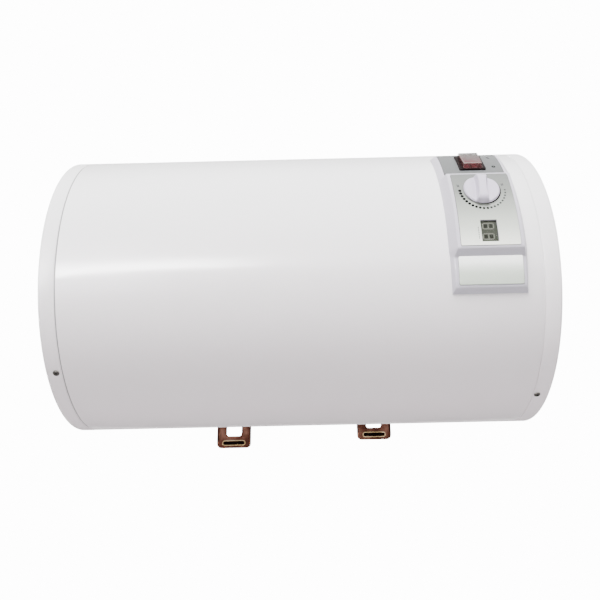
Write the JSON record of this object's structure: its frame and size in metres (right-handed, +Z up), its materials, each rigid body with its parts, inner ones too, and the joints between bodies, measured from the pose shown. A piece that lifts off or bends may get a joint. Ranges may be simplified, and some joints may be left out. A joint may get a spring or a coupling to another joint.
{
  "type": "tank water heater",
  "caption": "Horizontal wall-hung electric storage water heater with a control panel, rocker switch, dial and two brackets.",
  "frame": {"origin": "on the wall plane, level with the drum's axis and midway between the two brackets", "axes": "+X along the drum towards the control panel, +Y into the wall, +Z up"},
  "size_m": [0.5691, 0.3824, 0.366],
  "materials": {
    "white_paint": "gloss enamel",
    "white_plastic": "satin moulded",
    "silver_film": "printed silver film",
    "black_plastic": "fine texture",
    "red_lens": "translucent red",
    "clear_boot": "clear silicone",
    "smoked_lens": "smoked gloss",
    "plated_steel": "yellow-brown zinc plating",
    "bare_steel": "bright zinc",
    "dark_steel": "black oxide",
    "enamel": "vitreous enamel on steel",
    "foam": "rigid foam, open cut face",
    "rubber": "matt",
    "copper": "bright copper",
    "magnesium": "dull cast",
    "phenolic": "moulded",
    "blue_plastic": "moulded",
    "red_plastic": "moulded",
    "circuit_board": "solder mask",
    "wire": "brown insulation"
  },
  "bodies": {
    "heater": {"anode_rod": "magnesium", "cable_gland": "black_plastic", "capillary_tube": "copper", "cold_collar": "blue_plastic", "cold_inlet_pipe": "bare_steel", "dial_fascia": "silver_film", "display_lens": "smoked_lens", "display_module": "circuit_board", "element_flange": "bare_steel", "flange_bolt_1": "bare_steel", "flange_bolt_2": "bare_steel", "flange_bolt_3": "bare_steel", "flange_bolt_4": "bare_steel", "flange_bolt_5": "bare_steel", "flange_gasket": "rubber", "foam_insulation": "foam", "gland_nut": "black_plastic", "heating_element": "copper", "hot_collar": "red_plastic", "hot_outlet_pipe": "bare_steel", "inner_tank": "enamel", "left_cap_screw_1": "dark_steel", "left_cap_screw_2": "dark_steel", "left_cap_screw_3": "dark_steel", "left_end_cap": "white_paint", "left_lower_bracket_bolt": "bare_steel", "left_saddle_pad": "rubber", "left_upper_bracket_bolt": "bare_steel", "left_wall_bracket": "plated_steel", "load_wire": "wire", "name_plate": "silver_film", "outer_shell": "white_paint", "panel_housing": "white_plastic", "panel_screw_1": "dark_steel", "panel_screw_2": "dark_steel", "panel_screw_3": "dark_steel", "panel_screw_4": "dark_steel", "right_cap_screw_1": "dark_steel", "right_cap_screw_2": "dark_steel", "right_cap_screw_3": "dark_steel", "right_end_cap": "white_paint", "right_lower_bracket_bolt": "bare_steel", "right_saddle_pad": "rubber", "right_upper_bracket_bolt": "bare_steel", "right_wall_bracket": "plated_steel", "rocker_boot": "clear_boot", "sensor_bulb": "copper", "switch_frame": "black_plastic", "switch_strip": "silver_film", "switch_wire": "wire", "terminal_block": "phenolic", "thermal_cutout": "phenolic", "thermostat": "phenolic", "thermowell": "copper"},
    "rocker": {"rocker": "red_lens"},
    "knob": {"thermostat_knob": "white_plastic", "thermostat_spindle": "bare_steel"},
    "reset": {"reset_button": "red_plastic"}
  },
  "joints": [
    {"name": "rocker_tilt", "type": "hinge", "parent": "heater", "child": "rocker", "pos_m": [0.1988, -0.33887, 0.08466], "axis": [1, 0, 0], "range_deg": [-16, 0]},
    {"name": "knob_turn", "type": "hinge", "parent": "heater", "child": "knob", "pos_m": [0.1981, -0.37036, 0.03052], "axis": [0, -0.9863, 0.165], "range_deg": [-100, 100]},
    {"name": "reset_press", "type": "slide", "parent": "heater", "child": "reset", "axis": [1, 0, 0], "range_m": [0, 0.0025]}
  ]
}
